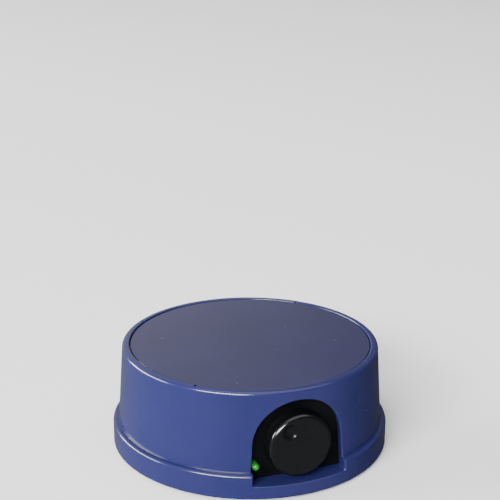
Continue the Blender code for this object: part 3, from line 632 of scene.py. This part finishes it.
def opening_cutter():
    """The knob opening with a round lip that follows the housing's curved and stepped outside."""
    flat = spaced(arch_outline(), 1.2 * MM, closed=True)
    line = []
    step = 0.02 * MM
    for (x, z), (to_x, to_z) in zip(flat, flat[1:] + flat[:1]):
        line.append((x, z))
        if (z - LEDGE) * (to_z - LEDGE) < 0:
            side = math.copysign(step, z - LEDGE)
            line += [(x, LEDGE + side), (x, LEDGE - side)]
    normals = []
    for k, (x, z) in enumerate(line):
        (x0, z0), (x1, z1) = line[k - 2], line[(k + 2) % len(line)]
        normals.append(Vector((z1 - z0, x0 - x1)).normalized())
    sweep = math.pi / 2 - LIP_START
    angles = [LIP_START + sweep * k / LIP_STEPS for k in range(LIP_STEPS + 1)]
    lips = [(LIP * (1 - math.sin(t)), LIP * (1 - math.cos(t))) for t in angles]

    def ring(offset, depth=None, y=None):
        spots = []
        for (x, z), normal in zip(line, normals):
            share = 0.5 + 0.5 * abs(normal.x)  # the lip is slimmer along the top and the floor
            x, z = x + normal.x * offset * share, z + normal.y * offset * share
            surface = -math.sqrt(outer_radius(z) ** 2 - x**2)
            spots.append((x, surface + depth * share if y is None else y, z))
        return spots

    rings = [ring(lips[0][0], y=-SKIRT - 10 * MM)]
    rings += [ring(offset, depth) for offset, depth in lips]
    rings.append(ring(0, y=PANEL_Y + 1 * MM))
    return loft(rings)


def jamb():
    """The recess's side walls and arched top, from the panel's face into the outer wall."""
    sunk = 1 * MM  # the ledge's own thickness hides the step between skirt and wall
    step = LEDGE - sunk
    lines = []
    for grow in (-0.5 * MM, JAMB_WALL):
        heights = (FLOOR - sunk, step - 0.1 * MM, step + 0.1 * MM)
        right = [(half_opening(z) + grow, z) for z in heights]
        left = [(-x, z) for x, z in reversed(right)]
        lines.append(right + arc(ARCH_RADIUS + grow, 0, math.pi, 72, (0, KNOB_Z)) + left)
    rings = []
    for pair in zip(*lines):
        backs, fronts = [], []
        for x, z in pair:
            radius = outer_radius(z + sunk) - WALL / 2
            backs.append((x, PANEL_Y - GAP, z))
            fronts.append((x, -math.sqrt(radius**2 - x**2), z))
        rings.append(backs + fronts[::-1])
    return loft(rings)


def housing_profile():
    """The whole section: the plate's seat, the rim, the wall, the skirt and back up inside."""
    corners = [
        (0, plate_low.z - 0.3 * MM, 0),
        (PLATE_SEAT, plate_low.z - 0.3 * MM, 0.25 * MM),
        (PLATE_SEAT, RIM_TOP, 0.6 * MM),
        (SHOULDER - 0.05 * MM, RIM_TOP - 0.3 * MM, 1.7 * MM),
        (WALL_FOOT, LEDGE, 0.12 * MM),
        (SKIRT, LEDGE, SKIRT_ROUND),
        (SKIRT, shell_low.z, 0.9 * MM),
        (SKIRT - WALL, shell_low.z, 0.3 * MM),
        (SKIRT - WALL, LEDGE - WALL, 0.3 * MM),
        (WALL_FOOT - WALL, LEDGE - WALL, 0.6 * MM),
        (SHOULDER - WALL, CEILING, 0.8 * MM),
        (0, CEILING, 0),
    ]
    return spaced(rounded(corners), 3.2 * MM)


def add_housing(looks):
    """The stepped moulding with its recess, shelf, screw posts and rim notches."""
    shell = as_object("housing_moulding", spun(housing_profile(), ROUND_STEPS))
    boolean(shell, "UNION", [jamb()])
    boolean(shell, "DIFFERENCE", [opening_cutter()])

    shelf_half, shelf_back = 25 * MM, -49.5 * MM
    inside = SKIRT - WALL + 1 * MM
    reach = math.asin(shelf_half / inside)
    front = arc(inside, -math.pi / 2 - reach, -math.pi / 2 + reach, 40)
    outline = front + [(shelf_half, shelf_back), (-shelf_half, shelf_back)]
    shelf = prism(outline, FLOOR - 2.1 * MM, FLOOR - 0.04 * MM)
    posts = [
        moved(cylinder(4 * MM, BOSS_TOP + GAP, CEILING + 1 * MM), around(a, POST_CIRCLE))
        for a in DIAGONALS
    ]
    boolean(shell, "UNION", [shelf] + posts)

    pilots = [
        moved(cylinder(1.4 * MM, 5 * MM, 18 * MM, 24), around(a, POST_CIRCLE)) for a in DIAGONALS
    ]
    shelf_holes = [
        moved(cylinder(1.6 * MM, 4 * MM, 9 * MM, 24), (side * PANEL_SCREW_X, PANEL_SCREW_Y, 0))
        for side in SIDES
    ]
    notch_low = (PLATE, -0.6 * MM, RIM_TOP - 0.9 * MM)
    notch_high = (PLATE + 2.7 * MM, 0.6 * MM, RIM_TOP + 1 * MM)
    notches = [moved(block(notch_low, notch_high), turn=a) for a in DIAGONALS]
    inlet = moved(cylinder(5.9 * MM, 55 * MM, 75 * MM, 64), (0, 0, JACK_Z), TO_REAR, "X")
    boolean(shell, "DIFFERENCE", pilots + shelf_holes + notches + [inlet])
    finish_piece(shell, looks["blue_plastic"], "housing", ["housing_shell"])


def add_plate(looks):
    corners = [
        (0, plate_high.z, 0),
        (PLATE, plate_high.z, 0.35 * MM),
        (PLATE, plate_low.z, 0.2 * MM),
        (0, plate_low.z, 0),
    ]
    plate = as_object("work_plate", spun(spaced(rounded(corners), 6 * MM), ROUND_STEPS))
    finish_piece(plate, looks["plate_gloss"], "housing", ["top_plate"])


def add_panel(looks):
    """The black insert: a flat panel that closes the recess from behind, with two screw lugs."""
    foot = FLOOR + GAP
    outline = [(x, z - KNOB_Z) for x, z in arch_outline(0.9 * MM, foot)]
    panel = as_object("panel_insert", to_front(prism(outline, -PANEL_THICK, 0)))
    low = Vector((-3.2 * MM, foot - KNOB_Z, -7.8 * MM))
    lugs = []
    for side in SIDES:
        corner = low + Vector((side * PANEL_SCREW_X, 0, 0))
        lugs.append(to_front(block(corner, corner + Vector((6.4, 5, 6.8)) * MM)))
    boolean(panel, "UNION", lugs)
    holes = [to_front(cylinder(4.3 * MM, -4 * MM, 4 * MM))]
    holes.append(to_front(cylinder(2 * MM, -4 * MM, 4 * MM), LED_X, PANEL_Y, LED_Z))
    for side in SIDES:
        pilot = cylinder(1.3 * MM, foot - 3 * MM, foot + 3.6 * MM, 24)
        holes.append(moved(pilot, (side * PANEL_SCREW_X, PANEL_SCREW_Y, 0)))
    boolean(panel, "DIFFERENCE", holes)
    finish_piece(panel, looks["black_plastic"], "housing", ["control_panel"])


def add_led(looks):
    """The round lamp: dome, barrel and the flange behind the panel."""
    radius, flange = 1.75 * MM, 2.15 * MM
    tip = PANEL_Y - led_low.y
    dome = arc(radius, 0, math.pi / 2, 16, (0, tip - radius))[:-1]
    flange_back, flange_front = PANEL_Y - led_high.y, -2.3 * MM
    profile = [(0, flange_back), (flange, flange_back), (flange, flange_front)]
    profile += [(radius, flange_front)] + dome + [(0, tip)]
    led = as_object("indicator_lamp", to_front(spun(profile, 64), LED_X, PANEL_Y, LED_Z))
    finish_piece(led, looks["led_green"], "housing", ["led"])


def add_knob(looks):
    """The speed knob: a soft-edged disc, hollow behind, with one finger dimple."""
    face = PANEL_Y - knob_low.y
    back = PANEL_Y - knob_high.y
    hub_front, hub_back, hub, bore = 6.5 * MM, 3.6 * MM, 5.4 * MM, 3.3 * MM
    corners = [
        (0, face, 0),
        (10 * MM, face - 0.02 * MM, 0),
        (KNOB_RADIUS - 0.3 * MM, face - 0.1 * MM, 2.2 * MM),
        (KNOB_RADIUS, back, 0.4 * MM),
        (KNOB_RADIUS - 2.2 * MM, back, 0.3 * MM),
        (KNOB_RADIUS - 2.4 * MM, hub_front, 0.5 * MM),
        (hub, hub_front, 0.5 * MM),
        (hub, hub_back, 0.3 * MM),
        (bore, hub_back, 0),
        (bore, hub_front - 0.1 * MM, 0),
        (0, hub_front - 0.1 * MM, 0),
    ]
    shape = spun(spaced(rounded(corners, 22), 0.3 * MM), 224)
    centre, radius, depth, soft = Vector((-5.6, 7.8)) * MM, 3.7 * MM, 1.6 * MM, 0.5 * MM
    sphere = (radius**2 + depth**2) / (2 * depth)
    for vertex in shape.verts:
        away = (vertex.co.xy - centre).length
        fade = min(1, max(0, (1.45 * radius - away) / (0.45 * radius)))
        if fade and vertex.co.z > face - 1.8 * MM:  # the face and its edge, not the hollow back
            bowl = math.sqrt(max(sphere**2 - away**2, 0)) - sphere + depth
            dip = (bowl + math.sqrt(bowl**2 + soft**2)) / 2
            vertex.co.z -= dip * fade**2 * (3 - 2 * fade)
    knob = as_object("knob_cap", to_front(shape))
    finish_piece(knob, looks["knob_black"], "knob", ["speed_knob"])


# Inlet, base and fasteners


def add_inlet(looks):
    """The round power socket in the rear wall: a chamfered sleeve, its centre pin and its nut."""
    mouth = jack_high.y

    def to_rear(shape):
        return moved(shape, (0, mouth, JACK_Z), TO_REAR, "X")

    sleeve = [
        (5.5 * MM, -12.6 * MM, 0),
        (5.5 * MM, 0, 0.4 * MM),
        (3.1 * MM, 0, 0.5 * MM),
        (3.1 * MM, -10.6 * MM, 0),
        (2 * MM, -10.6 * MM, 0),
        (2 * MM, -12.6 * MM, 0),
    ]
    socket = as_object("inlet_socket", to_rear(spun(rounded(sleeve), 96, closed=True)))
    box_back = jack_low.y - mouth
    box = block((-7 * MM, -5.8 * MM, box_back), (7 * MM, 5.8 * MM, -11.6 * MM))
    boolean(socket, "UNION", [to_rear(box)])
    inner, outer, low, high = 4.5 * MM, 7 * MM, -8.6 * MM, -5.6 * MM
    collar = spun([(inner, low), (outer, low), (outer, high), (inner, high)], 96, closed=True)
    boolean(socket, "UNION", [to_rear(collar)])
    finish_piece(socket, looks["black_plastic"], "housing", ["power_jack"])

    pin_radius, pin_foot, pin_tip = 1 * MM, -10.4 * MM, -2.6 * MM
    dome = arc(pin_radius, 0, math.pi / 2, 8, (0, pin_tip - pin_radius))[:-1]
    pin_profile = [(0, pin_foot), (pin_radius, pin_foot)] + dome + [(0, pin_tip)]
    pin = as_object("inlet_pin", to_rear(spun(pin_profile, 48)))
    finish_piece(pin, looks["steel"], "housing", ["power_jack"])

    across = (nut_high.z - nut_low.z) / 2
    thick = nut_high.y - nut_low.y
    hexagon = arc(across, math.pi / 6, 2 * math.pi + math.pi / 6, 6)[:-1]
    nut = as_object("inlet_nut", prism(hexagon, 0, thick))
    chamfer = [
        (0, -1 * MM),
        (across * 1.2, -1 * MM),
        (across * 1.2, thick - 0.9 * MM),
        (across * 0.92, thick + 0.1 * MM),
        (0, thick + 0.1 * MM),
    ]
    boolean(nut, "INTERSECT", [spun(chamfer, 96)])
    boolean(nut, "DIFFERENCE", [cylinder(5.8 * MM, -1 * MM, thick + 1 * MM, 64)])
    turn = Matrix.Rotation(TO_REAR, 4, "X")
    nut.data.transform(Matrix.Translation((0, nut_low.y, JACK_Z)) @ turn)
    finish_piece(nut, looks["steel"], "housing", ["jack_nut"], sharp=20)


def add_base_cover(looks):
    """The bottom cover: a disc with a soft edge, a moulded ring, bosses and its drilled holes."""
    bottom, top = base_low.z, base_low.z + 1.9 * MM
    edge, groove = base_high.x, 38 * MM
    corners = [
        (0, bottom, 0),
        (groove, bottom, 0.1 * MM),
        (groove + 0.4 * MM, bottom + 0.5 * MM, 0.15 * MM),
        (groove + 1.2 * MM, bottom + 0.5 * MM, 0.15 * MM),
        (groove + 1.6 * MM, bottom, 0.1 * MM),
        (edge, bottom, 0.7 * MM),
        (edge, top, 0.2 * MM),
        (0, top, 0),
    ]
    cover = as_object("bottom_cover", spun(rounded(corners), ROUND_STEPS))
    board_screws = [(side * BOARD_SCREW_X, BOARD_SCREW_Y) for side in SIDES]
    bosses = [
        moved(cylinder(5 * MM, top - 1 * MM, BOSS_TOP), around(a, POST_CIRCLE)) for a in DIAGONALS
    ]
    standoff_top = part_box("circuit_board")[0].z - GAP
    for x, y in board_screws:
        bosses.append(moved(cylinder(3 * MM, top - 1 * MM, standoff_top), (x, y, 0)))
    boolean(cover, "UNION", bosses)
    holes = [moved(cylinder(1.9 * MM, 0, 9 * MM), around(a, POST_CIRCLE)) for a in DIAGONALS]
    for k in range(FOOT_COUNT):
        spot = around(k * math.pi / 2, FOOT_CIRCLE)
        holes.append(moved(cylinder(2.7 * MM, 0, 9 * MM), spot))
    holes += [moved(cylinder(1.3 * MM, top - 1 * MM, 9 * MM), (x, y, 0)) for x, y in board_screws]
    bracket_hole = (1.7 * MM, 0, 9 * MM)
    holes += [moved(cylinder(*bracket_hole), (side * BRACKET_SCREW_X, 0, 0)) for side in SIDES]
    boolean(cover, "DIFFERENCE", holes)
    sinks = [moved(cylinder(3.2 * MM, 0, 3.2 * MM), around(a, POST_CIRCLE)) for a in DIAGONALS]
    boolean(cover, "DIFFERENCE", sinks)
    finish_piece(cover, looks["base_plastic"], "housing", ["base_plate"])


def add_base_screws(looks):
    """Pan-head screws with a cross recess, driven from below."""
    for k in range(1, len(DIAGONALS) + 1):
        node = f"base_screw_{k}"
        low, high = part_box(node)
        middle = (low + high) / 2
        head, thick, shank, tall = 2.8 * MM, 1.4 * MM, 1.1 * MM, high.z - low.z
        corners = [
            (0, 0, 0),
            (head - 0.3 * MM, 0.25 * MM, 0.6 * MM),
            (head, thick, 0.15 * MM),
            (shank, thick, 0.1 * MM),
            (shank, tall - 0.8 * MM, 0),
            (0.4 * shank, tall, 0),
            (0, tall, 0),
        ]
        place = (middle.x, middle.y, low.z)
        screw = as_object(f"cover_screw_{k}", moved(spun(rounded(corners), 48), place))
        arm, slim = 1.5 * MM, 0.28 * MM
        cross = []
        for quarter in range(4):
            turn = Matrix.Rotation(quarter * math.pi / 2, 2)
            cross += [tuple(turn @ Vector(p)) for p in ((arm, -slim), (arm, slim), (slim, slim))]
        recess = moved(prism(cross, -1 * MM, 0.9 * MM), place, math.radians(20))
        boolean(screw, "DIFFERENCE", [recess])
        finish_piece(screw, looks["steel"], "housing", [node])


def add_feet(looks):
    """Push-in rubber feet, each with a shallow hollow in its sole."""
    hollow, sole, neck, barb = 0.25 * MM, 1.2 * MM, 2.4 * MM, 3.7 * MM
    for k in range(1, FOOT_COUNT + 1):
        node = f"foot_{k}"
        low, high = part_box(node)
        middle = (low + high) / 2
        radius = (high.x - low.x) / 2
        corners = [
            (0, hollow, 0),
            (3 * MM, hollow, 0.1 * MM),
            (3.4 * MM, 0, 0.1 * MM),
            (radius, 0, 0.4 * MM),
            (radius, sole, 0.2 * MM),
            (neck, sole, 0.1 * MM),
            (neck, barb, 0),
            (3.4 * MM, barb, 0.2 * MM),
            (2.6 * MM, high.z, 0.2 * MM),
            (0, high.z, 0),
        ]
        place = (middle.x, middle.y, 0)
        foot = as_object(f"rubber_foot_{k}", moved(spun(rounded(corners), 96), place))
        finish_piece(foot, looks["rubber"], "housing", [node])


def dress_frame(looks):
    """Gives every CAD node that stays the procedural material of its slot."""
    for subpart in frame["record"]["subparts"]:
        node = frame["nodes"][subpart["node"]]
        node.data.materials.clear()
        node.data.materials.append(looks[subpart["material_slot"]])


def main():
    add_camera()
    for light in LIGHTS:
        add_area_light(*light)
    light_room()
    add_floor()
    looks = make_looks()
    dress_frame(looks)
    add_housing(looks)
    add_plate(looks)
    add_panel(looks)
    add_led(looks)
    add_knob(looks)
    add_inlet(looks)
    add_base_cover(looks)
    add_base_screws(looks)
    add_feet(looks)


main()
